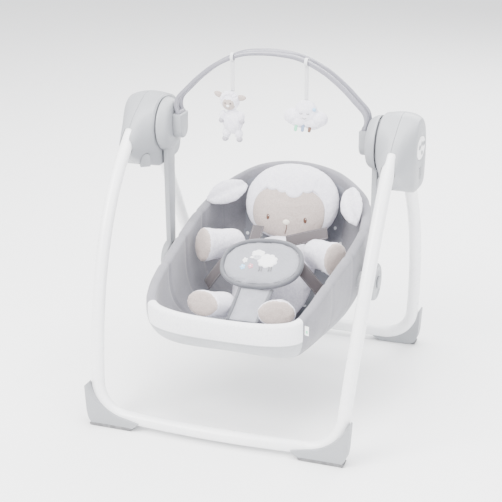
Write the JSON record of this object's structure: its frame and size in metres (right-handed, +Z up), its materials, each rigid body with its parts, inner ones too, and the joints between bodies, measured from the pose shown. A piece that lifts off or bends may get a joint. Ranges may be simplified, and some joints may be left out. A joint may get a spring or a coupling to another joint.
{
  "type": "baby swing",
  "caption": "Portable baby swing: bucket seat on two swinging arms between folding tube legs, with a lamb-shaped support pillow, harness and toy bar.",
  "frame": {"origin": "centre of the outline on the floor", "axes": "+X to the right seen from the front, -Y towards the front where the child's feet point, +Z up"},
  "size_m": [0.6082, 0.6128, 0.6926],
  "materials": {
    "white_tube": "gloss",
    "grey_plastic": "satin",
    "foot_plastic": "satin",
    "rail_plastic": "gloss",
    "steel": "brushed",
    "dark_plastic": "matte",
    "battery": "gloss",
    "board": "matte",
    "panel_white": "gloss",
    "grey_velour": "velour",
    "white_plush": "plush",
    "webbing": "woven"
  },
  "bodies": {
    "base": {"front_leg_tube": "white_tube", "foot_front_left": "foot_plastic", "foot_front_right": "foot_plastic", "battery_cell_1": "battery", "battery_cell_2": "battery", "battery_cell_3": "battery", "battery_cell_4": "battery", "control_panel": "panel_white", "circuit_board": "board", "speaker": "dark_plastic", "drive_motor": "steel", "left_housing_inner": "grey_plastic", "left_housing_outer": "grey_plastic", "left_fold_pin": "steel", "left_axle_bush": "dark_plastic", "right_housing_inner": "grey_plastic", "right_housing_outer": "grey_plastic", "right_fold_pin": "steel", "right_axle_bush": "dark_plastic"},
    "rear_leg": {"rear_leg_tube": "white_tube", "foot_rear_left": "foot_plastic", "foot_rear_right": "foot_plastic"},
    "swing": {"drive_sector": "panel_white", "left_axle": "steel", "left_hub_cover": "grey_plastic", "left_swing_arm": "grey_plastic", "left_toy_bar_clip": "grey_plastic", "right_axle": "steel", "right_hub_cover": "grey_plastic", "right_swing_arm": "grey_plastic", "right_toy_bar_clip": "grey_plastic"},
    "seat": {"seat_shell": "grey_plastic", "seat_cover": "grey_velour", "left_seat_pivot": "grey_plastic", "right_seat_pivot": "grey_plastic", "lamb_head": "white_plush", "lamb_body": "white_plush", "tummy_pad": "grey_velour", "crotch_pad": "grey_velour", "lamb_ear_left": "white_plush", "lamb_arm_left": "white_plush", "lamb_leg_left": "white_plush", "shoulder_strap_left": "webbing", "waist_strap_left": "webbing", "lamb_ear_right": "white_plush", "lamb_arm_right": "white_plush", "lamb_leg_right": "white_plush", "shoulder_strap_right": "webbing", "waist_strap_right": "webbing"},
    "toy_bar": {"toy_bar": "rail_plastic"},
    "lamb_toy": {"lamb_toy": "white_plush"},
    "cloud_toy": {"cloud_toy": "white_plush"},
    "power_button": {"power_button": "grey_plastic"},
    "speed_button": {"speed_button": "grey_plastic"},
    "music_button": {"music_button": "grey_plastic"},
    "volume_button": {"volume_button": "grey_plastic"},
    "left_fold_button": {"left_fold_button": "grey_plastic"},
    "right_fold_button": {"right_fold_button": "grey_plastic"},
    "motor_pinion": {"motor_pinion": "panel_white"},
    "battery_door": {"battery_door": "grey_plastic"}
  },
  "joints": [
    {"name": "rear_leg_fold", "type": "hinge", "parent": "base", "child": "rear_leg", "pos_m": [0, 0.07325, 0.498], "axis": [-1, 0, 0], "range_deg": [0, 50]},
    {"name": "swing_hinge", "type": "hinge", "parent": "base", "child": "swing", "pos_m": [0, 0.03125, 0.528], "axis": [1, 0, 0], "range_deg": [-15, 15]},
    {"name": "seat_recline", "type": "hinge", "parent": "swing", "child": "seat", "pos_m": [0, 0.03125, 0.24], "axis": [1, 0, 0], "range_deg": [0, 12]},
    {"name": "toy_bar_lift", "type": "slide", "parent": "swing", "child": "toy_bar", "axis": [0, 0, 1], "range_m": [0, 0.04]},
    {"name": "lamb_toy_swing", "type": "hinge", "parent": "toy_bar", "child": "lamb_toy", "pos_m": [-0.076, 0.02325, 0.67582], "axis": [1, 0, 0], "range_deg": [-35, 35]},
    {"name": "cloud_toy_swing", "type": "hinge", "parent": "toy_bar", "child": "cloud_toy", "pos_m": [0.076, 0.02325, 0.67582], "axis": [1, 0, 0], "range_deg": [-35, 35]},
    {"name": "power_press", "type": "slide", "parent": "base", "child": "power_button", "axis": [-1, 0, 0], "range_m": [0, 0.0012], "stiffness_N_per_m": 300},
    {"name": "speed_press", "type": "slide", "parent": "base", "child": "speed_button", "axis": [-1, 0, 0], "range_m": [0, 0.0012], "stiffness_N_per_m": 300},
    {"name": "music_press", "type": "slide", "parent": "base", "child": "music_button", "axis": [-1, 0, 0], "range_m": [0, 0.0012], "stiffness_N_per_m": 300},
    {"name": "volume_press", "type": "slide", "parent": "base", "child": "volume_button", "axis": [-1, 0, 0], "range_m": [0, 0.0012], "stiffness_N_per_m": 300},
    {"name": "left_fold_press", "type": "slide", "parent": "base", "child": "left_fold_button", "axis": [-0.6222, 0.7828, 0], "range_m": [0, 0.003], "stiffness_N_per_m": 500},
    {"name": "right_fold_press", "type": "slide", "parent": "base", "child": "right_fold_button", "axis": [0.6222, 0.7828, 0], "range_m": [0, 0.003], "stiffness_N_per_m": 500},
    {"name": "motor_spin", "type": "hinge", "parent": "base", "child": "motor_pinion", "pos_m": [0.244, 0.03125, 0.495], "axis": [1, 0, 0], "range_deg": [-52, 52]},
    {"name": "battery_door_slide", "type": "slide", "parent": "base", "child": "battery_door", "axis": [-1, 0, 0], "range_m": [0, 0.03]}
  ],
  "couplings": [
    {"joint": "motor_spin", "follows": "swing_hinge", "ratio": -3.4}
  ]
}
